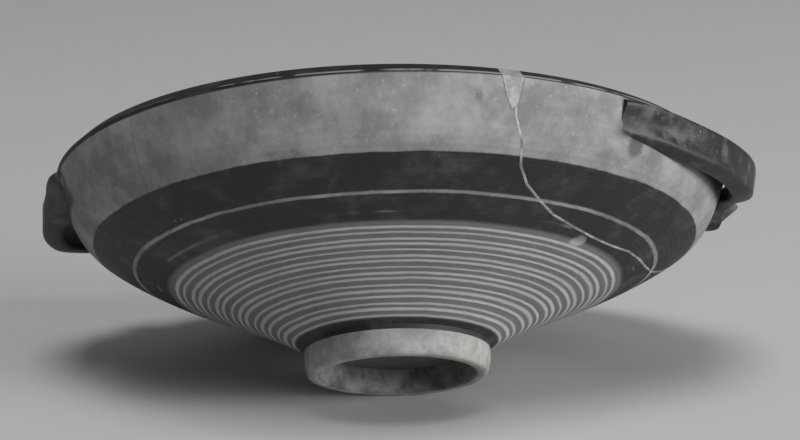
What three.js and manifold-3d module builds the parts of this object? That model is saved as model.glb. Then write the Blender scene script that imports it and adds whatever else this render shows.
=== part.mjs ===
// Shallow two-handled bowl in painted, wheel-thrown clay, standing on a ring foot.
// The pot has been broken and mended: two rim sherds are set back against the main
// wall, and plaster fills the wider parts of the right-hand join.
// Millimetres, +Z up. The origin is on the resting plane, at the middle of the foot.
// The two handles lie towards +X (right) and -X (left).

import * as THREE from 'three';
import { mergeVertices } from 'three/addons/utils/BufferGeometryUtils.js';
import Module from 'manifold-3d';

// Rim: a slanting lip, painted in the finished bowl
const rimRadius = 125.0;
const bowlHeight = 77.4;
const lipDrop = 4.3;
const lipWidth = 5.3;
const lipRound = 1.0;
const rimEdgeHeight = bowlHeight - lipDrop;
const lipTopRadius = rimRadius - lipWidth;

// Foot ring
const footBottomRadius = 32.4;
const footRestWidth = 3.0;
const footTopRadius = 34.3;
const footHeight = 8.7;
const footEdgeRound = 1.2;
const footInnerTopRadius = 27.0;

// Outside of the wall: how far each station lies in from the rim's edge and below it
const baseEdgeRise = 1.9;
const lowerWall = { inset: 69.8, depth: 51.4 };
const middleWall = { inset: 36.7, depth: 37.0 };
const shoulder = { inset: 16.4, depth: 26.0 };
const turnOfWall = { inset: 8.0, depth: 18.7 };
const handleZone = { inset: 2.4, depth: 7.5 };

// Thickness of the clay, and the flat middle of the floor
const wallThickness = 5.6;
const floorThickness = 7.4;
const floorRise = 0.3;
const floorFlatShare = 0.55;

// The rim is a little out of true, as on many hand-made bowls
const rimDrop = 1.4;
const rimShift = 0.9;
const dropTowardsDegrees = -15;
const leanDepth = 40.6;

// Handles: a thick band of clay pressed to the wall at its near end, standing off it in
// the middle, with a pinched fin at its far end. Each station gives its place in degrees
// from the handle's middle towards the near end, how far the band's outer face reaches
// past the rim at its top and at its bottom, how far below the rim's edge the band goes
// down, how thick it is, and how deep the thumb pressed its outer face in.
const handleStations = [
  { place: 33, topReach: 1.2, bottomReach: -3.4, drop: 11.0, thickness: 6.0, scoop: 0.0 },
  { place: 30, topReach: 2.5, bottomReach: -2.2, drop: 12.2, thickness: 7.0, scoop: 0.5 },
  { place: 23, topReach: 3.4, bottomReach: 0.5, drop: 13.4, thickness: 8.0, scoop: 2.0 },
  { place: 17, topReach: 4.2, bottomReach: 3.0, drop: 14.6, thickness: 8.0, scoop: 0.7 },
  { place: 11, topReach: 5.8, bottomReach: 6.0, drop: 15.3, thickness: 8.0, scoop: 0.0 },
  { place: 3, topReach: 8.6, bottomReach: 8.4, drop: 15.3, thickness: 8.0, scoop: 0.0 },
  { place: -5, topReach: 10.8, bottomReach: 9.4, drop: 14.7, thickness: 8.0, scoop: 0.0 },
  { place: -13, topReach: 10.4, bottomReach: 8.8, drop: 10.9, thickness: 8.0, scoop: 0.0 },
  { place: -20, topReach: 7.6, bottomReach: 6.0, drop: 7.2, thickness: 8.0, scoop: 0.0 },
  { place: -25, topReach: 6.8, bottomReach: 4.6, drop: 7.0, thickness: 9.0, scoop: 0.0 },
  { place: -28, topReach: 10.8, bottomReach: 3.8, drop: 10.8, thickness: 14.0, scoop: 0.0 },
  { place: -30, topReach: 9.2, bottomReach: 2.4, drop: 11.2, thickness: 14.0, scoop: 0.0 },
  { place: -32, topReach: 1.2, bottomReach: -3.4, drop: 10.2, thickness: 6.0, scoop: 0.0 },
];
const handleTopDrop = 0.3;
const handleEdgeRound = 2.2;

// The two handles differ: side of the bowl, how far each half is spread along the rim,
// turn to the front in degrees, how much more it stands out, and how much higher it is
const rightHandle = { side: 1, nearSpread: 1, farSpread: 1, turn: 0, reachScale: 1, lift: 0 };
const leftHandle = { side: -1, nearSpread: 0.61, farSpread: 1.0, turn: 9, reachScale: 1.08, lift: 0.8 };

// Clearance between pieces that touch, and the plaster in the right-hand join
const gap = 0.3;
const joinWidth = 0.4;
const plasterWidth = 0.9;

// Breaks run square to the wall, so their faces point to one centre above the bowl
const breakCentre = new THREE.Vector3(0, 0, 150);
const slabReach = { inner: 0.82, outer: 1.12 };
const regionReach = { inner: 0.80, outer: 1.15 };
const regionInnerShare = 0.35;
const clearAboveRim = 12;

// Breaks: each list of places runs from rim to rim, as the angle from +X towards the
// front and the inset from the rim's edge. The part that the photograph doesn't show
// goes round under the handle at the back.
const rightBreak = [
  [53.2, 0], [52.6, 4.4], [51.2, 7.8], [49.6, 15.9], [46.6, 22.6], [41.6, 28.4],
  [36.3, 33.0], [28.9, 35.8], [19.8, 37.6], [11.0, 37.4], [2.6, 35.4], [-6.0, 34.0],
  [-15.0, 32.0], [-24.0, 27.4], [-31.0, 20.0], [-35.5, 11.0], [-37.4, 4.0], [-38.2, 0],
];
const leftBreak = [
  [210.0, 0], [208.6, 5.0], [205.0, 13.0], [196.0, 22.0], [184.0, 27.4], [170.0, 30.4],
  [156.0, 31.0], [143.0, 30.4], [130.0, 29.6], [124.6, 26.6], [123.6, 19.0], [121.6, 12.0],
  [119.2, 3.4], [118.5, 0],
];
const rimChip = [[55.3, 0], [54.6, 1.8], [53.4, 3.6], [52.4, 3.0], [51.6, 0]];

// Faces
const turns = 54;
const footTurns = 48;
const profileSteps = 14;
const handleSteps = 36;

const wasm = await Module();
wasm.setup();

const toRadians = THREE.MathUtils.degToRad;

function toSolid(geometry) {
  const bare = geometry.clone();
  bare.deleteAttribute('normal');
  bare.deleteAttribute('uv');
  const merged = mergeVertices(bare, 1e-4);
  return new wasm.Manifold(new wasm.Mesh({
    numProp: 3,
    vertProperties: new Float32Array(merged.attributes.position.array),
    triVerts: new Uint32Array(merged.index.array),
  }));
}

function toGeometry(solid) {
  const mesh = solid.getMesh();
  const geometry = new THREE.BufferGeometry();
  geometry.setAttribute('position', new THREE.BufferAttribute(new Float32Array(mesh.vertProperties), 3));
  geometry.setIndex(new THREE.BufferAttribute(new Uint32Array(mesh.triVerts), 1));
  return geometry;
}

// A body turned on the wheel: the profile goes round the upright axis
function turned(profile, steps) {
  const geometry = new THREE.LatheGeometry(profile, steps);
  geometry.rotateX(Math.PI / 2);
  return toSolid(geometry);
}

// Six times the volume that a triangle closes with the origin
function signedShare(positions, a, b, c) {
  const corner = (i) => new THREE.Vector3().fromArray(positions, i * 3);
  return corner(a).dot(corner(b).cross(corner(c)));
}

// A closed solid through equal rings of points, with a flat cap at each end
function loft(rings) {
  const positions = [];
  for (const ring of rings) {
    for (const point of ring) positions.push(point.x, point.y, point.z);
  }
  const count = rings[0].length;
  const index = [];
  for (let r = 0; r < rings.length - 1; r += 1) {
    for (let k = 0; k < count; k += 1) {
      const a = r * count + k;
      const b = r * count + (k + 1) % count;
      index.push(a, b, b + count, a, b + count, a + count);
    }
  }
  const last = (rings.length - 1) * count;
  for (let k = 1; k < count - 1; k += 1) {
    index.push(0, k + 1, k);
    index.push(last, last + k, last + k + 1);
  }
  let volume = 0;
  for (let i = 0; i < index.length; i += 3) volume += signedShare(positions, ...index.slice(i, i + 3));
  if (volume < 0) index.reverse();
  return new wasm.Manifold(new wasm.Mesh({
    numProp: 3,
    vertProperties: new Float32Array(positions),
    triVerts: new Uint32Array(index),
  }));
}

// Outer profile of the wall, from the edge of the base to the edge of the rim
const wallStation = ({ inset, depth }) => new THREE.Vector2(rimRadius - inset, rimEdgeHeight - depth);
const outerCurve = new THREE.SplineCurve([
  new THREE.Vector2(footTopRadius, footHeight + gap + baseEdgeRise),
  ...[lowerWall, middleWall, shoulder, turnOfWall, handleZone].map(wallStation),
  new THREE.Vector2(rimRadius, rimEdgeHeight),
]);
const outerProfile = outerCurve.getPoints(profileSteps);

// Points at a distance from the outer profile, measured square to it
function offsetProfile(distance) {
  return outerProfile.map((point, i) => {
    const before = outerProfile[Math.max(i - 1, 0)];
    const after = outerProfile[Math.min(i + 1, outerProfile.length - 1)];
    const along = after.clone().sub(before).normalize();
    return new THREE.Vector2(point.x + along.y * distance, point.y - along.x * distance);
  });
}

function wallHeightAt(radius) {
  for (let i = 1; i < outerProfile.length; i += 1) {
    const low = outerProfile[i - 1];
    const high = outerProfile[i];
    if (radius <= high.x) {
      return THREE.MathUtils.lerp(low.y, high.y, (radius - low.x) / (high.x - low.x));
    }
  }
  return rimEdgeHeight;
}

// The whole clay wall before it broke, as one turned body
function wholeWall() {
  const underside = footHeight + gap;
  const inside = offsetProfile(-wallThickness).filter((point) => point.y < bowlHeight - 2 * lipRound);
  const floorTop = underside + floorThickness;
  const innerWall = inside.filter((point) => point.y > floorTop + 2 * floorRise).reverse();
  const profile = [
    new THREE.Vector2(0, underside),
    new THREE.Vector2(footTopRadius, underside),
    ...outerProfile,
    new THREE.Vector2(lipTopRadius + lipRound, bowlHeight - lipRound * 0.35),
    new THREE.Vector2(lipTopRadius, bowlHeight),
    new THREE.Vector2(lipTopRadius - lipRound, bowlHeight - lipRound),
    ...innerWall,
    new THREE.Vector2(innerWall[innerWall.length - 1].x * floorFlatShare, floorTop + floorRise),
    new THREE.Vector2(0, floorTop),
  ];
  return turned(profile, turns);
}

// Everything that the wall encloses, grown by a distance: cuts what sits against it
function wallEnvelope(distance) {
  const grown = offsetProfile(distance);
  const profile = [
    new THREE.Vector2(0, footHeight + gap - distance),
    new THREE.Vector2(grown[0].x, footHeight + gap - distance),
    ...grown,
    new THREE.Vector2(rimRadius + distance, bowlHeight + clearAboveRim),
    new THREE.Vector2(0, bowlHeight + clearAboveRim),
  ];
  return turned(profile, turns);
}

// A point on the outer wall, by its angle from +X towards the front and its inset
function onWall(degrees, inset) {
  const angle = -toRadians(degrees);
  const radius = rimRadius - inset;
  return new THREE.Vector3(radius * Math.cos(angle), radius * Math.sin(angle), wallHeightAt(radius));
}

function scaledFromCentre(point, scale) {
  return point.clone().sub(breakCentre).multiplyScalar(scale).add(breakCentre);
}

// A thin slab along a break: the gap that its two edges keep, or what fills the gap
function breakSlab(points, width) {
  const rings = points.map((point, i) => {
    const before = points[Math.max(i - 1, 0)];
    const after = points[Math.min(i + 1, points.length - 1)];
    const along = after.clone().sub(before).normalize();
    const through = point.clone().sub(breakCentre).normalize();
    const side = along.clone().cross(through).normalize().multiplyScalar(width / 2);
    const inner = scaledFromCentre(point, slabReach.inner);
    const outer = scaledFromCentre(point, slabReach.outer);
    return [
      inner.clone().sub(side), inner.clone().add(side),
      outer.clone().add(side), outer.clone().sub(side),
    ];
  });
  return loft(rings);
}

// Where a break runs out over the rim, its slab goes on above the lip
function aboveRim(degrees) {
  const point = onWall(degrees, 0);
  point.z = bowlHeight + clearAboveRim;
  return point;
}

// All of the wall above a break line, between its two ends at the rim
function sherdRegion(points) {
  const rings = points.map((point) => {
    const outwards = new THREE.Vector3(point.x, point.y, 0).setLength(2 * rimRadius);
    const above = outwards.clone().setZ(2 * bowlHeight);
    const within = outwards.clone().multiplyScalar(regionInnerShare / 2).setZ(2 * bowlHeight);
    return [
      scaledFromCentre(point, regionReach.inner), within,
      above, scaledFromCentre(point, regionReach.outer),
    ];
  });
  return loft(rings);
}

const placesOnWall = (places) => places.map(([degrees, inset]) => onWall(degrees, inset));

function breakLine(places) {
  const first = places[0][0];
  const last = places[places.length - 1][0];
  return [aboveRim(first), ...placesOnWall(places), aboveRim(last)];
}

// Foot: a turned ring with a flat resting face and rounded edges
function footRing() {
  const profile = [
    new THREE.Vector2(footBottomRadius - footRestWidth, 0),
    new THREE.Vector2(footBottomRadius, 0),
    new THREE.Vector2(footBottomRadius + footEdgeRound * 0.65, footEdgeRound * 0.35),
    new THREE.Vector2(footBottomRadius + footEdgeRound, footEdgeRound * 1.4),
    new THREE.Vector2(footTopRadius, footHeight * 0.55),
    new THREE.Vector2(footTopRadius, footHeight),
    new THREE.Vector2(footInnerTopRadius, footHeight),
    new THREE.Vector2(footInnerTopRadius + 0.6, footHeight * 0.5),
    new THREE.Vector2(footBottomRadius - footRestWidth - footEdgeRound * 0.7, footEdgeRound * 0.6),
    new THREE.Vector2(footBottomRadius - footRestWidth, 0),
  ];
  return turned(profile, footTurns);
}

// The band's upright section, as radius and height, anticlockwise from its outer foot
function handleSection({ topReach, bottomReach, drop, thickness, scoop }) {
  const top = rimEdgeHeight - handleTopDrop;
  const bottom = rimEdgeHeight - drop;
  const outerTop = rimRadius + topReach;
  const outerBottom = rimRadius + bottomReach;
  const middle = (top + bottom) / 2;
  const outerMiddle = (outerTop + outerBottom) / 2 - scoop;
  const round = Math.min(handleEdgeRound, (top - bottom) / 3);
  return [
    [outerBottom, bottom + round],
    [outerMiddle, middle],
    [outerTop, top - round],
    [outerTop - round * 0.35, top - round * 0.35],
    [outerTop - round * 1.3, top],
    [outerTop - thickness + round * 0.7, top],
    [outerTop - thickness, top - round * 0.7],
    [(outerTop + outerBottom) / 2 - thickness, middle],
    [outerBottom - thickness, bottom + round * 0.7],
    [outerBottom - thickness + round * 0.7, bottom],
    [outerBottom - round, bottom],
    [outerBottom - round * 0.3, bottom + round * 0.3],
  ];
}

function handle({ side, nearSpread, farSpread, turn, reachScale, lift }) {
  const names = ['topReach', 'bottomReach', 'drop', 'thickness', 'scoop'];
  const curves = names.map((name) => new THREE.SplineCurve(
    handleStations.map((station) => new THREE.Vector2(station.place, station[name])),
  ));
  const rings = [];
  for (let i = 0; i <= handleSteps; i += 1) {
    const points = curves.map((curve) => curve.getPoint(i / handleSteps));
    const station = Object.fromEntries(names.map((name, k) => [name, points[k].y]));
    station.topReach *= reachScale;
    station.bottomReach *= reachScale;
    station.drop -= lift;
    const spread = points[0].x > 0 ? nearSpread : farSpread;
    const angle = -toRadians(points[0].x * spread + turn);
    rings.push(handleSection(station).map(([radius, height]) => new THREE.Vector3(
      side * radius * Math.cos(angle), radius * Math.sin(angle), height,
    )));
  }
  return loft(rings).subtract(wallEnvelope(gap));
}

// The rim's lean and shift, applied to every point of every piece
function setOutOfTrue(geometry) {
  const place = geometry.attributes.position;
  const direction = -toRadians(dropTowardsDegrees);
  const trueBelowHeight = bowlHeight - leanDepth;
  const dirX = Math.cos(direction);
  const dirY = Math.sin(direction);
  for (let i = 0; i < place.count; i += 1) {
    const along = place.getX(i) * dirX + place.getY(i) * dirY;
    const share = THREE.MathUtils.clamp((place.getZ(i) - trueBelowHeight) / leanDepth, 0, 1);
    place.setXYZ(
      i,
      place.getX(i) - rimShift * share * dirX,
      place.getY(i) - rimShift * share * dirY,
      place.getZ(i) - (rimDrop * share * along) / rimRadius,
    );
  }
  return geometry;
}

const clay = new THREE.MeshStandardMaterial({ color: 0x8f8a84, roughness: 0.7, metalness: 0 });
const darkSlip = new THREE.MeshStandardMaterial({ color: 0x2e2c2a, roughness: 0.45, metalness: 0 });
const plaster = new THREE.MeshStandardMaterial({ color: 0xb5b0a8, roughness: 0.9, metalness: 0 });

const bowl = new THREE.Group();

function addPiece(name, solid, material) {
  const mesh = new THREE.Mesh(setOutOfTrue(toGeometry(solid)), material.clone());
  mesh.name = name;
  bowl.add(mesh);
}

const wall = wholeWall();
const rightRegion = sherdRegion(placesOnWall(rightBreak));
const leftRegion = sherdRegion(placesOnWall(leftBreak));
const chipRegion = sherdRegion(placesOnWall(rimChip));
const rightJoin = breakSlab(breakLine(rightBreak), plasterWidth + 2 * gap);
const leftJoin = breakSlab(breakLine(leftBreak), joinWidth);
const chipJoin = breakSlab(breakLine(rimChip), joinWidth);
const joins = rightJoin.add(leftJoin).add(chipJoin);
const mainWall = wall.subtract(rightRegion).subtract(leftRegion).subtract(chipRegion);
const jointFill = wall.intersect(breakSlab(breakLine(rightBreak), plasterWidth));

addPiece('wall_main_sherd', mainWall.subtract(joins), clay);
addPiece('wall_right_sherd', wall.intersect(rightRegion).subtract(chipRegion).subtract(joins), clay);
addPiece('wall_left_sherd', wall.intersect(leftRegion).subtract(joins), clay);
addPiece('plaster_joint_fill', jointFill.subtract(chipRegion).subtract(chipJoin), plaster);
addPiece('plaster_rim_fill', wall.intersect(chipRegion).subtract(chipJoin), plaster);
addPiece('foot_ring', footRing(), clay);
addPiece('handle_right', handle(rightHandle), darkSlip);
addPiece('handle_left', handle(leftHandle), darkSlip);

export default bowl;
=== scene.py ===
# %% [markdown]
# A shallow painted bowl with two handles at the rim, standing on a ring foot. It was
# thrown on a wheel, painted with dark slip in bands and fine rings, broken, and mended.
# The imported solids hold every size, so the first step loads them and keeps their box.

import math

import bmesh
import bpy
import numpy as np
from mathutils import Matrix, Vector


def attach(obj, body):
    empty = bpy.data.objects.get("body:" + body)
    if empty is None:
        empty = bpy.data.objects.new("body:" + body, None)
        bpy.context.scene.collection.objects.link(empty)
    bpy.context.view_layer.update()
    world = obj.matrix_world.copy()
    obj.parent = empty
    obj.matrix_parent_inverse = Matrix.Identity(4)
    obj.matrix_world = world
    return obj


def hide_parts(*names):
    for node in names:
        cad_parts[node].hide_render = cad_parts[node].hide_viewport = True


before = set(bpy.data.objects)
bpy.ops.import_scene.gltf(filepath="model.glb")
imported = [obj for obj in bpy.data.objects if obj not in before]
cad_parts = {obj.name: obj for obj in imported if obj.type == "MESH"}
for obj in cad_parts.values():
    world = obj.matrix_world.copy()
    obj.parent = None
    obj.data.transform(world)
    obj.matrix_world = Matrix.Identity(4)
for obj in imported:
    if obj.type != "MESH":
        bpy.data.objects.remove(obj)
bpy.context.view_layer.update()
MM = 0.001
print("solids:", sorted(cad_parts))

# %% [markdown]
# The real wall is one turned shape, so its outline is a few stations with a smooth
# curve through them. These are the same stations as in the solids, in millimetres,
# which lets each fine piece lie exactly where its plain solid lies.

# %% Sizes of the bowl, in millimetres
FOOT_BOTTOM_RADIUS = 32.4
FOOT_REST_WIDTH = 3.0
FOOT_TOP_RADIUS = 34.3
FOOT_HEIGHT = 8.7
FOOT_EDGE_ROUND = 1.2
FOOT_INNER_TOP_RADIUS = 27.0
GAP = 0.3
BASE_EDGE_RISE = 1.9
WALL_STATIONS = [
    (FOOT_TOP_RADIUS, FOOT_HEIGHT + GAP + BASE_EDGE_RISE),
    (55.2, 21.7),
    (88.3, 36.1),
    (108.6, 47.1),
    (117.0, 54.4),
    (122.6, 65.6),
    (125.0, 73.1),
]
RIM_RADIUS, RIM_EDGE_HEIGHT = WALL_STATIONS[-1]
LIP_TOP_RADIUS = 119.7
BOWL_HEIGHT = 77.4
LIP_ROUND = 1.0
WALL_THICKNESS = 5.6
FLOOR_THICKNESS = 7.4
RIM_DROP = 1.4
RIM_SHIFT = 0.9
DROP_TOWARDS = math.radians(15)
TRUE_BELOW_HEIGHT = 36.8
FINE_TURNS = 360
FINE_STEPS = 90


# %% A smooth curve through the stations
def spline_value(a, b, c, d, t):
    """A value between b and c on a uniform Catmull-Rom curve."""
    v0 = (c - a) * 0.5
    v1 = (d - b) * 0.5
    return (2 * b - 2 * c + v0 + v1) * t**3 + (-3 * b + 3 * c - 2 * v0 - v1) * t**2 + v0 * t + b


def smooth_curve(stations, steps):
    """Points of a uniform Catmull-Rom curve, with its ends doubled."""
    last = len(stations) - 1
    points = []
    for i in range(steps + 1):
        place = last * i / steps
        k = min(int(place), last - 1)
        t = place - k
        p0 = stations[k if k == 0 else k - 1]
        p1 = stations[k]
        p2 = stations[k + 1]
        p3 = stations[last if k > last - 2 else k + 2]
        points.append(tuple(spline_value(a, b, c, d, t) for a, b, c, d in zip(p0, p1, p2, p3)))
    return points


OUTER = smooth_curve(WALL_STATIONS, FINE_STEPS)
OUTER_RADII = [r for r, z in OUTER]
OUTER_HEIGHTS = [z for r, z in OUTER]


def offset_profile(distance):
    """The outer profile moved square to itself by a distance."""
    moved = []
    for i, (r, z) in enumerate(OUTER):
        r0, z0 = OUTER[max(i - 1, 0)]
        r1, z1 = OUTER[min(i + 1, len(OUTER) - 1)]
        length = math.hypot(r1 - r0, z1 - z0)
        moved.append((r + (z1 - z0) / length * distance, z - (r1 - r0) / length * distance))
    return moved


def wall_height_at(radius):
    return float(np.interp(radius, OUTER_RADII, OUTER_HEIGHTS))


print("wall runs from", OUTER[0], "to", OUTER[-1])


# %% Mesh helpers: turned bodies, lofts and cuts
def new_object(name, verts, faces, slots=None, face_slots=None):
    """A mesh object from millimetre points, with outward faces."""
    mesh = bpy.data.meshes.new(name)
    mesh.from_pydata([tuple(c * MM for c in v) for v in verts], [], faces)
    obj = bpy.data.objects.new(name, mesh)
    bpy.context.scene.collection.objects.link(obj)
    for material in slots or []:
        mesh.materials.append(material)
    if face_slots:
        mesh.polygons.foreach_set("material_index", face_slots)
    shape = bmesh.new()
    shape.from_mesh(mesh)
    bmesh.ops.recalc_face_normals(shape, faces=shape.faces)
    shape.to_mesh(mesh)
    shape.free()
    return obj


def turned(name, profile, steps, slots=None, profile_slots=None):
    """A closed body turned about the upright axis from a profile in millimetres."""
    verts = []
    rows = []
    for r, z in profile:
        if r < 1e-9:
            rows.append([len(verts)] * steps)
            verts.append((0.0, 0.0, z))
            continue
        rows.append(list(range(len(verts), len(verts) + steps)))
        for k in range(steps):
            a = 2 * math.pi * k / steps
            verts.append((r * math.cos(a), r * math.sin(a), z))
    faces = []
    face_slots = []
    closed = profile[0][0] > 1e-9
    spans = len(profile) if closed else len(profile) - 1
    for i in range(spans):
        low = rows[i]
        high = rows[(i + 1) % len(rows)]
        for k in range(steps):
            corner = [low[k], low[(k + 1) % steps], high[(k + 1) % steps], high[k]]
            unique = list(dict.fromkeys(corner))
            if len(unique) > 2:
                faces.append(unique)
                face_slots.append(profile_slots[i] if profile_slots else 0)
    return new_object(name, verts, faces, slots, face_slots)


def loft(name, rings, slots=None):
    """A closed body through equal rings of points, capped at both ends."""
    verts = [p for ring in rings for p in ring]
    count = len(rings[0])
    faces = []
    for r in range(len(rings) - 1):
        for k in range(count):
            a = r * count + k
            b = r * count + (k + 1) % count
            faces.append([a, b, b + count, a + count])
    faces.append(list(range(count)))
    faces.append([(len(rings) - 1) * count + k for k in range(count)])
    return new_object(name, verts, faces, slots)


def apply_cut(obj, cutter, kind):
    """Join, cut or keep the common part of two closed bodies."""
    step = obj.modifiers.new("cut", "BOOLEAN")
    step.operation = kind
    step.solver = "EXACT"
    step.object = cutter
    graph = bpy.context.evaluated_depsgraph_get()
    mesh = bpy.data.meshes.new_from_object(obj.evaluated_get(graph))
    obj.modifiers.clear()
    old = obj.data
    obj.data = mesh
    bpy.data.meshes.remove(old)
    return obj


def copy_of(obj, name):
    twin = obj.copy()
    twin.data = obj.data.copy()
    twin.name = name
    bpy.context.scene.collection.objects.link(twin)
    return twin


def discard(*objects):
    for obj in objects:
        bpy.data.objects.remove(obj, do_unlink=True)


def set_out_of_true(obj):
    """Lean and shift the upper part of a piece, as the whole rim does."""
    direction = np.array([math.cos(DROP_TOWARDS), math.sin(DROP_TOWARDS)])
    mesh = obj.data
    flat = np.empty(len(mesh.vertices) * 3)
    mesh.vertices.foreach_get("co", flat)
    co = flat.reshape(-1, 3)
    along = co[:, :2] @ direction
    share = np.clip((co[:, 2] / MM - TRUE_BELOW_HEIGHT) / (BOWL_HEIGHT - TRUE_BELOW_HEIGHT), 0, 1)
    co[:, :2] -= RIM_SHIFT * MM * share[:, None] * direction
    co[:, 2] -= RIM_DROP * share * along / RIM_RADIUS
    mesh.vertices.foreach_set("co", co.ravel())
    mesh.update()


def finish_piece(obj, node_names, smooth_degrees=40):
    """Shade a piece softly, hang it on the bowl and let it stand for its solids."""
    set_out_of_true(obj)
    obj.data.shade_smooth()
    obj.data.set_sharp_from_angle(angle=math.radians(smooth_degrees))
    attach(obj, "root")
    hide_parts(*node_names)
    print(obj.name, len(obj.data.polygons), "faces")


# %% [markdown]
# The finish is slip on clay: the same dark liquid clay makes the broad bands and, where
# it is scraped or left away, the pale rings show the body of the pot. One node recipe
# draws it from the distance to the upright axis, so the rings run true round the bowl.


# %% Node helpers
def new_material(name):
    material = bpy.data.materials.new(name)
    material.use_nodes = True
    nodes = material.node_tree.nodes
    nodes.clear()
    output = nodes.new("ShaderNodeOutputMaterial")
    shader = nodes.new("ShaderNodeBsdfPrincipled")
    material.node_tree.links.new(shader.outputs["BSDF"], output.inputs["Surface"])
    return material, shader


class Recipe:
    """Short words for the node steps that the finishes share."""

    def __init__(self, material):
        self.tree = material.node_tree
        self.coord = self.tree.nodes.new("ShaderNodeTexCoord").outputs["Object"]

    def link(self, value, socket):
        if isinstance(value, (int, float, tuple)):
            socket.default_value = value
        else:
            self.tree.links.new(value, socket)

    def math(self, kind, a, b=0.0, clamp=False):
        node = self.tree.nodes.new("ShaderNodeMath")
        node.operation = kind
        node.use_clamp = clamp
        self.link(a, node.inputs[0])
        self.link(b, node.inputs[1])
        return node.outputs[0]

    def noise(self, scale, detail=4.0, rough=0.55, vector=None):
        node = self.tree.nodes.new("ShaderNodeTexNoise")
        node.inputs["Scale"].default_value = scale
        node.inputs["Detail"].default_value = detail
        node.inputs["Roughness"].default_value = rough
        self.link(vector or self.coord, node.inputs["Vector"])
        return node.outputs["Fac"]

    def stretch(self, sx, sy, sz):
        node = self.tree.nodes.new("ShaderNodeMapping")
        node.inputs["Scale"].default_value = (sx, sy, sz)
        self.link(self.coord, node.inputs["Vector"])
        return node.outputs["Vector"]

    def ramp(self, value, low, high):
        node = self.tree.nodes.new("ShaderNodeMapRange")
        node.interpolation_type = "SMOOTHSTEP"
        node.inputs["From Min"].default_value = low
        node.inputs["From Max"].default_value = high
        self.link(value, node.inputs["Value"])
        return node.outputs["Result"]

    def mix(self, share, a, b):
        node = self.tree.nodes.new("ShaderNodeMix")
        node.data_type = "RGBA"
        self.link(share, node.inputs[0])
        self.link(a, node.inputs[6])
        self.link(b, node.inputs[7])
        return node.outputs[2]

    def bump(self, height, distance, strength=1.0):
        node = self.tree.nodes.new("ShaderNodeBump")
        node.inputs["Distance"].default_value = distance
        node.inputs["Strength"].default_value = strength
        self.link(height, node.inputs["Height"])
        return node.outputs["Normal"]

    def axes(self):
        node = self.tree.nodes.new("ShaderNodeSeparateXYZ")
        self.link(self.coord, node.inputs[0])
        return node.outputs[0], node.outputs[1], node.outputs[2]

    def distance(self, point):
        node = self.tree.nodes.new("ShaderNodeVectorMath")
        node.operation = "DISTANCE"
        self.link(self.coord, node.inputs[0])
        self.link(point, node.inputs[1])
        return node.outputs["Value"]

    def radius(self):
        x, y, _ = self.axes()
        return self.math("SQRT", self.math("ADD", self.math("MULTIPLY", x, x), self.math("MULTIPLY", y, y)))


def grey(level, warmth=1.0):
    """A near-neutral tone written as it looks on screen, from 0 to 255."""
    linear = (level / 255) ** 2.2
    return (linear * (1 + 0.03 * warmth), linear, linear * (1 - 0.03 * warmth), 1.0)


CLAY = grey(142)
CLAY_DARK = grey(104)
CLAY_LIGHT = grey(188)
SLIP = grey(26, 0.5)
SLIP_WORN = grey(66, 0.7)
SLIP_THIN = grey(98, 0.8)
PLASTER = grey(170)

# %% The painted outside
BAND_TOP_RADIUS = 112.0
UPPER_LINE_RADIUS = 96.8
UPPER_LINE_WIDTH = 1.3
FIRST_RING_RADIUS = 81.0
LAST_RING_RADIUS = 38.1
RING_COUNT = 16
RING_WIDTH = 1.1
WORN_LINE_RADIUS = 88.4
FINE_ZONE_RADIUS = 84.0
FOOT_JOIN_RADIUS = 38.0
# Painted shade behind the handle loops: the height where it starts, and its half-width as an angle from the
# handles' middle.
HANDLE_SHADE_BOTTOM = 60.0
HANDLE_SHADE_SPREAD = math.radians(33)
RESERVED_STRIPE_HEIGHT = 73.6
RESERVED_STRIPE_WIDTH = 0.9
# Worn places, as a point on the bowl in millimetres, a radius and a strength.
WORN_MARKS = [
    ((-2.1, -118.0, 55.7), 3.3, 0.9),
    ((78.6, -91.4, 60.0), 4.2, 0.7),
    ((77.3, -32.8, 33.8), 4.6, 0.8),
    ((-98.0, -76.0, 68.9), 2.4, 0.9),
    ((-97.7, -72.3, 62.7), 2.8, 0.9),
    ((-107.6, -62.1, 69.3), 2.2, 0.8),
]
DARK_MARKS = [
    ((104.8, -56.9, 57.6), 4.5, 0.8),
    ((62.0, -104.0, 66.0), 3.0, 0.5),
]


def ring_mask(recipe, radius, centre, width, soft=0.3):
    """1 on a pale ring of the given radius and width in millimetres, 0 away from it."""
    away = recipe.math("ABSOLUTE", recipe.math("SUBTRACT", radius, centre * MM))
    inside = recipe.ramp(away, (width / 2 - soft) * MM, (width / 2 + soft) * MM)
    return recipe.math("SUBTRACT", 1.0, inside, clamp=True)


def spots(recipe, marks):
    """Soft ragged spots, the strongest mark winning."""
    total = 0.0
    ragged = recipe.math("MULTIPLY", recipe.math("SUBTRACT", recipe.noise(190, 4, 0.6), 0.5), 5 * MM)
    for point, size, strength in marks:
        away = recipe.distance(tuple(c * MM for c in point))
        away = recipe.math("ADD", away, ragged)
        spot = recipe.math("SUBTRACT", 1.0, recipe.ramp(away, size * 0.55 * MM, size * MM), clamp=True)
        total = recipe.math("MAXIMUM", total, recipe.math("MULTIPLY", spot, strength))
    return total


def painted_handle_shade(recipe, height):
    """1 on the wall behind each handle loop, above 60 mm: painted shade of the loop, drawn in the dark slip
    colour.
    """
    x, y, _ = recipe.axes()
    round_angle = recipe.math("ARCTAN2", recipe.math("ABSOLUTE", y), recipe.math("ABSOLUTE", x))
    edge = recipe.math("MULTIPLY", recipe.math("SUBTRACT", recipe.noise(30, 3), 0.5), 0.09)
    beside = recipe.ramp(
        recipe.math("ADD", round_angle, edge), HANDLE_SHADE_SPREAD - 0.03, HANDLE_SHADE_SPREAD + 0.03
    )
    above = recipe.ramp(height, (HANDLE_SHADE_BOTTOM - 1.5) * MM, (HANDLE_SHADE_BOTTOM + 1.5) * MM)
    return recipe.math("MULTIPLY", recipe.math("SUBTRACT", 1.0, beside, clamp=True), above)


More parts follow.
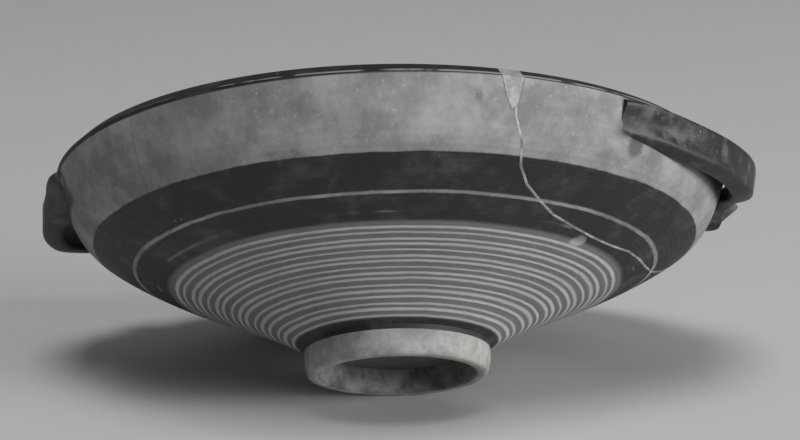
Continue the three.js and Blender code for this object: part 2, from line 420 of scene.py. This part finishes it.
def painted_outside():
    material, shader = new_material("painted_outside")
    recipe = Recipe(material)
    true_radius = recipe.radius()
    _, _, height = recipe.axes()
    wobble = recipe.math("MULTIPLY", recipe.math("SUBTRACT", recipe.noise(26, 3), 0.5), 1.5 * MM)
    tremor = recipe.math("MULTIPLY", recipe.math("SUBTRACT", recipe.noise(240, 3), 0.5), 0.5 * MM)
    radius = recipe.math("ADD", recipe.math("ADD", true_radius, wobble), tremor)

    pale = recipe.ramp(radius, (BAND_TOP_RADIUS - 0.25) * MM, (BAND_TOP_RADIUS + 0.25) * MM)
    pale = recipe.math("MAXIMUM", pale, ring_mask(recipe, radius, UPPER_LINE_RADIUS, UPPER_LINE_WIDTH))
    pitch = (FIRST_RING_RADIUS - LAST_RING_RADIUS) / (RING_COUNT - 1)
    for k in range(RING_COUNT):
        centre = FIRST_RING_RADIUS - pitch * k + 0.25 * math.sin(2.3 * k)
        width = RING_WIDTH * (1 + 0.22 * math.sin(4.1 * k + 1))
        pale = recipe.math("MAXIMUM", pale, ring_mask(recipe, radius, centre, width))
    dashes = recipe.ramp(recipe.noise(34, 2), 0.52, 0.60)
    worn_line = recipe.math("MULTIPLY", ring_mask(recipe, radius, WORN_LINE_RADIUS, 1.0, 0.4), dashes)
    pale = recipe.math("MAXIMUM", pale, recipe.math("MULTIPLY", worn_line, 0.6))

    flakes = recipe.ramp(recipe.noise(420, 5, 0.7), 0.66, 0.70)
    patches = recipe.ramp(recipe.noise(38, 4, 0.6), 0.44, 0.62)
    chipped = recipe.math("MULTIPLY", flakes, patches)
    pale = recipe.math("MAXIMUM", pale, recipe.math("MULTIPLY", chipped, 0.75))
    above_lip = recipe.ramp(height, 72.3 * MM, 72.8 * MM)
    # The slip on the lip is real. The dark slip colour behind the handle loops is painted shade.
    lip_slip_and_handle_shade = recipe.math("MAXIMUM", above_lip, painted_handle_shade(recipe, height))
    pale = recipe.math("MULTIPLY", pale, recipe.math("SUBTRACT", 1.0, lip_slip_and_handle_shade, clamp=True))
    pale = recipe.math("MAXIMUM", pale, spots(recipe, WORN_MARKS))
    at_foot = recipe.ramp(true_radius, (FOOT_JOIN_RADIUS - 1.5) * MM, (FOOT_JOIN_RADIUS + 0.5) * MM)
    pale = recipe.math("MULTIPLY", pale, recipe.math("ADD", 0.15, recipe.math("MULTIPLY", at_foot, 0.85)))

    mottle = recipe.ramp(recipe.noise(60, 6, 0.65), 0.3, 0.72)
    clay = recipe.mix(mottle, CLAY_DARK, CLAY)
    specks = recipe.ramp(recipe.noise(900, 3, 0.6), 0.64, 0.72)
    clay = recipe.mix(recipe.math("MULTIPLY", specks, 0.45), clay, CLAY_LIGHT)
    clay = recipe.mix(spots(recipe, DARK_MARKS), clay, SLIP_WORN)
    slip = recipe.mix(recipe.ramp(recipe.noise(70, 6, 0.7), 0.45, 0.8), SLIP, SLIP_WORN)
    fine_zone = recipe.ramp(radius, (FINE_ZONE_RADIUS + 1) * MM, (FINE_ZONE_RADIUS - 1) * MM)
    clay = recipe.mix(recipe.math("MULTIPLY", fine_zone, 0.5), clay, CLAY_LIGHT)
    thinned = recipe.math("MULTIPLY", fine_zone, recipe.math("ADD", 0.5, recipe.noise(48, 5, 0.65)), clamp=True)
    thinned = recipe.math("MULTIPLY", thinned, at_foot)
    in_foot = recipe.ramp(true_radius, (FOOT_INNER_TOP_RADIUS + 2) * MM, FOOT_INNER_TOP_RADIUS * MM)
    in_foot = recipe.math("MULTIPLY", in_foot, recipe.math("ADD", 0.25, recipe.noise(60, 5, 0.65)), clamp=True)
    thinned = recipe.math("MAXIMUM", thinned, in_foot)
    slip = recipe.mix(thinned, slip, SLIP_THIN)
    recipe.link(recipe.mix(pale, slip, clay), shader.inputs["Base Color"])

    dullness = recipe.math("ADD", recipe.math("MULTIPLY", pale, 0.20), 0.54)
    dullness = recipe.math("ADD", dullness, recipe.math("MULTIPLY", recipe.noise(180, 4), 0.14))
    recipe.link(dullness, shader.inputs["Roughness"])
    turning = recipe.math("SINE", recipe.math("MULTIPLY", true_radius, 2 * math.pi / (1.9 * MM)))
    relief = recipe.math("ADD", recipe.math("MULTIPLY", turning, 0.10), recipe.noise(160, 6, 0.6))
    relief = recipe.math("SUBTRACT", relief, recipe.math("MULTIPLY", pale, 0.10))
    recipe.link(recipe.bump(relief, 0.35 * MM, 0.8), shader.inputs["Normal"])
    return material


# %% The slipped inside, the bare breaks, the plaster and the handles
def slip_finish(name, wear_low, wear_high, level=SLIP, worn_level=SLIP_WORN):
    material, shader = new_material(name)
    recipe = Recipe(material)
    worn = recipe.ramp(recipe.noise(90, 7, 0.7), wear_low, wear_high)
    flakes = recipe.ramp(recipe.noise(520, 4, 0.7), 0.64, 0.70)
    bare = recipe.math("MULTIPLY", flakes, recipe.ramp(recipe.noise(44, 3), 0.45, 0.6))
    colour = recipe.mix(worn, level, worn_level)
    colour = recipe.mix(recipe.math("MULTIPLY", bare, 0.8), colour, CLAY)
    recipe.link(colour, shader.inputs["Base Color"])
    shine = recipe.math("ADD", recipe.math("MULTIPLY", worn, 0.2), 0.54)
    recipe.link(shine, shader.inputs["Roughness"])
    relief = recipe.math("SUBTRACT", recipe.noise(170, 6, 0.6), recipe.math("MULTIPLY", bare, 0.3))
    recipe.link(recipe.bump(relief, 0.4 * MM, 0.8), shader.inputs["Normal"])
    return material


def rough_finish(name, low, high, grain):
    material, shader = new_material(name)
    recipe = Recipe(material)
    tone = recipe.ramp(recipe.noise(grain, 6, 0.7), 0.35, 0.68)
    recipe.link(recipe.mix(tone, low, high), shader.inputs["Base Color"])
    shader.inputs["Roughness"].default_value = 0.85
    recipe.link(recipe.bump(recipe.noise(grain * 4, 6, 0.7), 0.3 * MM), shader.inputs["Normal"])
    return material


def striped_lip():
    """The slipped lip with a thin stripe of bare clay left round its foot."""
    material = slip_finish("slipped_lip", 0.45, 0.8)
    shader = next(n for n in material.node_tree.nodes if n.type == "BSDF_PRINCIPLED")
    recipe = Recipe(material)
    _, _, height = recipe.axes()
    away = recipe.math("ABSOLUTE", recipe.math("SUBTRACT", height, RESERVED_STRIPE_HEIGHT * MM))
    half = RESERVED_STRIPE_WIDTH / 2
    stripe = recipe.math("SUBTRACT", 1.0, recipe.ramp(away, (half - 0.2) * MM, (half + 0.2) * MM), clamp=True)
    stripe = recipe.math("MULTIPLY", stripe, recipe.ramp(recipe.noise(60, 3), 0.38, 0.5))
    slipped = shader.inputs["Base Color"].links[0].from_socket
    recipe.link(recipe.mix(stripe, slipped, CLAY), shader.inputs["Base Color"])
    return material


outside = painted_outside()
inside = slip_finish("slipped_inside", 0.5, 0.75)
lip = striped_lip()
handle_slip = slip_finish("slipped_handle", 0.47, 0.68, grey(30, 0.5), grey(84, 0.7))
bare_break = rough_finish("bare_break", CLAY_DARK, CLAY, 300)
plaster = rough_finish("pale_plaster", grey(104), PLASTER, 200)
toned_plaster = rough_finish("toned_plaster", grey(124), grey(158), 160)
print("finishes:", [m.name for m in bpy.data.materials if m.users or m.name.startswith(("painted", "slipped"))])

# %% [markdown]
# The wall is turned whole and then broken, as the pot was. Each break is a thin slab
# that stands square to the wall, and each sherd is what lies above its break line.
# Booleans keep the faces' finishes, and the fresh faces show the bare clay.

# %% Turn the wall
UNDERSIDE = FOOT_HEIGHT + GAP
FLOOR_TOP = UNDERSIDE + FLOOR_THICKNESS


def whole_wall():
    inner = [(r, z) for r, z in offset_profile(-WALL_THICKNESS) if FLOOR_TOP + 1 < z < BOWL_HEIGHT - 2 * LIP_ROUND]
    inner.reverse()
    profile = [(0.0, UNDERSIDE), (FOOT_TOP_RADIUS, UNDERSIDE)] + OUTER
    lip_start = len(profile) - 1
    profile += [
        (LIP_TOP_RADIUS + LIP_ROUND, BOWL_HEIGHT - LIP_ROUND * 0.35),
        (LIP_TOP_RADIUS, BOWL_HEIGHT),
        (LIP_TOP_RADIUS - LIP_ROUND, BOWL_HEIGHT - LIP_ROUND),
    ]
    inside_start = len(profile) - 1
    profile += inner + [(inner[-1][0] * 0.55, FLOOR_TOP + 0.3), (0.0, FLOOR_TOP)]
    slots = [0] * len(profile)
    for i in range(lip_start, inside_start):
        slots[i] = 2
    for i in range(inside_start, len(profile)):
        slots[i] = 1
    return turned("whole_wall", profile, FINE_TURNS, [outside, inside, lip, bare_break], slots)


wall = whole_wall()
print("whole wall:", len(wall.data.polygons), "faces")

# %% Break lines, as angle from the right towards the front, and radius on the wall
RIGHT_BREAK = [
    (53.2, 125.0), (52.6, 120.6), (51.2, 117.2), (49.6, 109.1), (46.6, 102.4), (41.6, 96.6),
    (36.3, 92.0), (28.9, 89.2), (19.8, 87.4), (11.0, 87.6), (2.6, 89.6), (-6.0, 91.0),
    (-15.0, 93.0), (-24.0, 97.6), (-31.0, 105.0), (-35.5, 114.0), (-37.4, 121.0), (-38.2, 125.0),
]
LEFT_BREAK = [
    (210.0, 125.0), (208.6, 120.0), (205.0, 112.0), (196.0, 103.0), (184.0, 97.6), (170.0, 94.6),
    (156.0, 94.0), (143.0, 94.6), (130.0, 95.4), (124.6, 98.4), (123.6, 106.0), (121.6, 113.0),
    (119.2, 121.6), (118.5, 125.0),
]
RIM_CHIP = [(55.3, 125.0), (54.6, 123.2), (53.4, 121.4), (52.4, 122.0), (51.6, 125.0)]
JOIN_WIDTH = 0.16
PLASTER_WIDTH = 0.9
PLASTER_SEAM = 0.05
BREAK_CENTRE = np.array([0.0, 0.0, 150.0])


def on_wall(degrees, radius):
    a = -math.radians(degrees)
    return np.array([radius * math.cos(a), radius * math.sin(a), wall_height_at(radius)])


def from_centre(point, scale):
    return BREAK_CENTRE + (point - BREAK_CENTRE) * scale


def break_slab(name, places, width):
    ends = [on_wall(places[0][0], RIM_RADIUS), on_wall(places[-1][0], RIM_RADIUS)]
    for end in ends:
        end[2] = BOWL_HEIGHT + 12
    points = [ends[0]] + [on_wall(*place) for place in places] + [ends[1]]
    rings = []
    for i, point in enumerate(points):
        along = points[min(i + 1, len(points) - 1)] - points[max(i - 1, 0)]
        side = np.cross(along, point - BREAK_CENTRE)
        side *= width / 2 / np.linalg.norm(side)
        inner = from_centre(point, 0.82)
        outer = from_centre(point, 1.12)
        rings.append([tuple(inner - side), tuple(inner + side), tuple(outer + side), tuple(outer - side)])
    return loft(name, rings, [bare_break])


def sherd_region(name, places):
    rings = []
    for place in places:
        point = on_wall(*place)
        a = math.atan2(point[1], point[0])
        flat = np.array([math.cos(a), math.sin(a)])
        above = (*(flat * 2 * RIM_RADIUS), 2 * BOWL_HEIGHT)
        within = (*(flat * RIM_RADIUS * 0.35), 2 * BOWL_HEIGHT)
        rings.append([tuple(from_centre(point, 0.80)), within, above, tuple(from_centre(point, 1.15))])
    return loft(name, rings, [bare_break])


regions = {
    "right": sherd_region("right_region", RIGHT_BREAK),
    "left": sherd_region("left_region", LEFT_BREAK),
    "chip": sherd_region("chip_region", RIM_CHIP),
}
slabs = {
    "right": break_slab("right_slab", RIGHT_BREAK, PLASTER_WIDTH + 2 * PLASTER_SEAM),
    "left": break_slab("left_slab", LEFT_BREAK, JOIN_WIDTH),
    "chip": break_slab("chip_slab", RIM_CHIP, JOIN_WIDTH),
    "joint": break_slab("joint_slab", RIGHT_BREAK, PLASTER_WIDTH),
}

# %% Break the wall into its sherds
main_sherd = copy_of(wall, "main_sherd")
right_sherd = copy_of(wall, "right_sherd")
left_sherd = copy_of(wall, "left_sherd")
rim_fill = copy_of(wall, "rim_fill")
joint_fill = copy_of(wall, "joint_fill")
for key in ("right", "left", "chip"):
    apply_cut(main_sherd, regions[key], "DIFFERENCE")
    apply_cut(main_sherd, slabs[key], "DIFFERENCE")
apply_cut(right_sherd, regions["right"], "INTERSECT")
apply_cut(right_sherd, regions["chip"], "DIFFERENCE")
apply_cut(right_sherd, slabs["right"], "DIFFERENCE")
apply_cut(right_sherd, slabs["chip"], "DIFFERENCE")
apply_cut(left_sherd, regions["left"], "INTERSECT")
apply_cut(left_sherd, slabs["left"], "DIFFERENCE")
apply_cut(rim_fill, regions["chip"], "INTERSECT")
apply_cut(rim_fill, slabs["chip"], "DIFFERENCE")
apply_cut(joint_fill, slabs["joint"], "INTERSECT")
apply_cut(joint_fill, regions["chip"], "DIFFERENCE")
apply_cut(joint_fill, slabs["chip"], "DIFFERENCE")
for i in range(len(rim_fill.data.materials)):
    rim_fill.data.materials[i] = toned_plaster
    joint_fill.data.materials[i] = plaster
discard(wall, *regions.values(), *slabs.values())
finish_piece(main_sherd, ["wall_main_sherd"])
finish_piece(right_sherd, ["wall_right_sherd"])
finish_piece(left_sherd, ["wall_left_sherd"])
finish_piece(rim_fill, ["plaster_rim_fill"])
finish_piece(joint_fill, ["plaster_joint_fill"])

# %% [markdown]
# The ring foot was thrown or turned apart and luted on while the clay was leather-hard.
# Its edge is soft from use, so the profile has small rounded corners.

# %% The foot ring
foot_profile = [
    (FOOT_BOTTOM_RADIUS - FOOT_REST_WIDTH, 0.0),
    (FOOT_BOTTOM_RADIUS, 0.0),
    (FOOT_BOTTOM_RADIUS + FOOT_EDGE_ROUND * 0.65, FOOT_EDGE_ROUND * 0.35),
    (FOOT_BOTTOM_RADIUS + FOOT_EDGE_ROUND, FOOT_EDGE_ROUND * 1.4),
    (FOOT_TOP_RADIUS, FOOT_HEIGHT * 0.55),
    (FOOT_TOP_RADIUS, FOOT_HEIGHT + GAP),
    (FOOT_INNER_TOP_RADIUS, FOOT_HEIGHT + GAP),
    (FOOT_INNER_TOP_RADIUS + 0.6, FOOT_HEIGHT * 0.5),
    (FOOT_BOTTOM_RADIUS - FOOT_REST_WIDTH - FOOT_EDGE_ROUND * 0.7, FOOT_EDGE_ROUND * 0.6),
]
foot_clay = rough_finish("foot_clay", grey(118), grey(152), 90)
foot_inside = rough_finish("foot_inside", grey(70), grey(118), 90)
foot_slots = [0] * 5 + [1] * (len(foot_profile) - 5)
foot = turned("foot", foot_profile, FINE_TURNS, [foot_clay, foot_inside], foot_slots)
finish_piece(foot, ["foot_ring"], 50)

# %% [markdown]
# Each handle is a thick band of clay, pressed flat against the wall at its near end and
# standing free as a loop further round, with a small flaring tip behind. Stations give
# the band's edges along its run. A smooth loft follows them, and cutting it with the
# wall's own shape seats it exactly.

# %% Sizes of the handles, in millimetres and in degrees along the rim
# Each station: place, reach of the top edge past the rim, reach of the bottom edge,
# depth of the bottom edge below the rim's edge, thickness, hollow in the outer face.
HANDLE_STATIONS = [
    (33, 1.2, -3.4, 11.0, 6.0, 0),
    (30, 2.5, -2.2, 12.2, 7.0, 0.5),
    (23, 3.4, 0.5, 13.4, 8.0, 2.0),
    (17, 4.2, 3.0, 14.6, 8.0, 0.7),
    (11, 5.8, 6.0, 15.3, 8.0, 0),
    (3, 8.6, 8.4, 15.3, 8.0, 0),
    (-5, 10.8, 9.4, 14.7, 8.0, 0),
    (-13, 10.4, 8.8, 10.9, 8.0, 0),
    (-20, 7.6, 6.0, 7.2, 8.0, 0),
    (-25, 6.8, 4.6, 7.0, 9.0, 0),
    (-28, 10.8, 3.8, 10.8, 14.0, 0),
    (-30, 9.2, 2.4, 11.2, 14.0, 0),
    (-32, 1.2, -3.4, 10.2, 6.0, 0),
]
HANDLE_TOP_DROP = 0.3
HANDLE_EDGE_ROUND = 2.2
BAND_STEPS = 144


def handle_section(top_reach, bottom_reach, drop, thickness, scoop, reach_scale, lift):
    """Corner points of the band's upright section, as radius and height."""
    top = RIM_EDGE_HEIGHT - HANDLE_TOP_DROP
    bottom = RIM_EDGE_HEIGHT - drop + lift
    edge = min(HANDLE_EDGE_ROUND, (top - bottom) / 3)
    outer_top = RIM_RADIUS + top_reach * reach_scale
    outer_bottom = RIM_RADIUS + bottom_reach * reach_scale
    middle = (top + bottom) / 2
    halfway = (outer_top + outer_bottom) / 2
    return [
        (outer_bottom, bottom + edge),
        (halfway - scoop, middle),
        (outer_top, top - edge),
        (outer_top - edge * 0.35, top - edge * 0.35),
        (outer_top - edge * 1.3, top),
        (outer_top - thickness + edge * 0.7, top),
        (outer_top - thickness, top - edge * 0.7),
        (halfway - thickness, middle),
        (outer_bottom - thickness, bottom + edge * 0.7),
        (outer_bottom - thickness + edge * 0.7, bottom),
        (outer_bottom - edge, bottom),
        (outer_bottom - edge * 0.3, bottom + edge * 0.3),
    ]


def round_outline(points, steps):
    """A closed smooth curve through the corner points of a section."""
    ring = []
    count = len(points)
    for k in range(count):
        four = [points[(k + j) % count] for j in (-1, 0, 1, 2)]
        for i in range(steps):
            ring.append(tuple(spline_value(a, b, c, d, i / steps) for a, b, c, d in zip(*four)))
    return ring


def wall_envelope():
    profile = [(0.0, UNDERSIDE), (OUTER[0][0], UNDERSIDE)] + OUTER
    profile += [(RIM_RADIUS, BOWL_HEIGHT + 10), (0.0, BOWL_HEIGHT + 10)]
    return turned("wall_envelope", profile, FINE_TURNS)


# %% Make both handles
def make_handle(name, node, side, near_spread, far_spread, turn_degrees, reach_scale, lift):
    rings = []
    for place, *sizes in smooth_curve(HANDLE_STATIONS, BAND_STEPS):
        section = handle_section(*sizes, reach_scale, lift)
        spread = near_spread if place > 0 else far_spread
        a = -math.radians(place * spread + turn_degrees)
        rings.append([(side * r * math.cos(a), r * math.sin(a), z) for r, z in round_outline(section, 4)])
    handle = loft(name, rings, [handle_slip])
    envelope = wall_envelope()
    apply_cut(handle, envelope, "DIFFERENCE")
    discard(envelope)
    finish_piece(handle, [node], 35)


make_handle("right_handle", "handle_right", 1, 1, 1, 0, 1, 0)
make_handle("left_handle", "handle_left", -1, 0.61, 1.0, 9, 1.08, 0.8)

# %% [markdown]
# The bowl is laid back on a pale table, so that it rests on the edge of its foot and on
# its wall, and the camera looks a little down at it. In the bowl's own frame the table
# is a slanting sheet. It is clear from below, so that it hides nothing in other views.

# %% The view: a long lens turned to the bowl
VIEW_TURN = math.radians(17)
LOOK_UP = 0.297624
CAMERA_ROLL = 0.024124
OFFSET_MM = Vector((-0.778, 57.264, 920.2))
LENS_MM = 112.5
TABLE_TILT = math.radians(31.7)

turn = Matrix.Rotation(VIEW_TURN, 3, "Z")
right = Vector((1, 0, 0))
forward = Vector((0, math.cos(LOOK_UP), math.sin(LOOK_UP)))
down = Vector((0, math.sin(LOOK_UP), -math.cos(LOOK_UP)))
row_right = right * math.cos(CAMERA_ROLL) + down * math.sin(CAMERA_ROLL)
row_down = -right * math.sin(CAMERA_ROLL) + down * math.cos(CAMERA_ROLL)
place = -(row_right * OFFSET_MM.x + row_down * OFFSET_MM.y + forward * OFFSET_MM.z) * MM
columns = [turn @ row_right, turn @ -row_down, turn @ -forward]
camera_data = bpy.data.cameras.new("camera")
camera_data.lens = LENS_MM
camera_data.sensor_width = 36
camera = bpy.data.objects.new("camera", camera_data)
basis = Matrix((columns[0], columns[1], columns[2])).transposed().to_4x4()
camera.matrix_world = Matrix.Translation(turn @ place) @ basis
bpy.context.scene.collection.objects.link(camera)
bpy.context.scene.camera = camera
print("camera stands", round(camera.matrix_world.translation.length, 3), "m away")

# %% The table
table_up = turn @ Vector((0, -math.sin(TABLE_TILT), math.cos(TABLE_TILT)))
table_point = turn @ Vector((0, FOOT_BOTTOM_RADIUS * MM, 0))
bpy.ops.mesh.primitive_plane_add(size=6)
table = bpy.context.object
table.name = "table"
table.matrix_world = Matrix.Translation(table_point) @ table_up.to_track_quat("Z", "Y").to_matrix().to_4x4()
table_material, table_shader = new_material("pale_table")
table_shader.inputs["Base Color"].default_value = grey(200, 0.3)
table_shader.inputs["Roughness"].default_value = 0.9
tree = table_material.node_tree
facing = tree.nodes.new("ShaderNodeNewGeometry")
clear = tree.nodes.new("ShaderNodeBsdfTransparent")
choose = tree.nodes.new("ShaderNodeMixShader")
tree.links.new(facing.outputs["Backfacing"], choose.inputs[0])
tree.links.new(table_shader.outputs[0], choose.inputs[1])
tree.links.new(clear.outputs[0], choose.inputs[2])
output = next(n for n in tree.nodes if n.type == "OUTPUT_MATERIAL")
tree.links.new(choose.outputs[0], output.inputs["Surface"])
table.data.materials.append(table_material)


# %% Lamps and the room's own light
def area_lamp(name, direction, distance, size, watts):
    data = bpy.data.lights.new(name, "AREA")
    data.size = size
    data.energy = watts
    lamp = bpy.data.objects.new(name, data)
    aim = (turn @ Vector(direction)).normalized()
    lamp.location = aim * distance
    lamp.rotation_euler = aim.to_track_quat("Z", "Y").to_euler()
    bpy.context.scene.collection.objects.link(lamp)
    return lamp


area_lamp("key_lamp", (0.86, -0.5, -0.1), 4.0, 1.4, 180)
area_lamp("front_lamp", (0.0, -0.85, 0.5), 3.5, 1.2, 56)
world = bpy.data.worlds.new("room")
bpy.context.scene.world = world
world.use_nodes = True
sky = world.node_tree.nodes["Background"]
seen = world.node_tree.nodes.new("ShaderNodeBackground")
pick = world.node_tree.nodes.new("ShaderNodeMixShader")
path = world.node_tree.nodes.new("ShaderNodeLightPath")
sky.inputs["Color"].default_value = (1, 1, 1, 1)
sky.inputs["Strength"].default_value = 0.16
seen.inputs["Color"].default_value = grey(160, 0.3)
world.node_tree.links.new(path.outputs["Is Camera Ray"], pick.inputs[0])
world.node_tree.links.new(sky.outputs[0], pick.inputs[1])
world.node_tree.links.new(seen.outputs[0], pick.inputs[2])
world_output = next(n for n in world.node_tree.nodes if n.type == "OUTPUT_WORLD")
world.node_tree.links.new(pick.outputs[0], world_output.inputs["Surface"])
bpy.context.scene.view_settings.view_transform = "Standard"
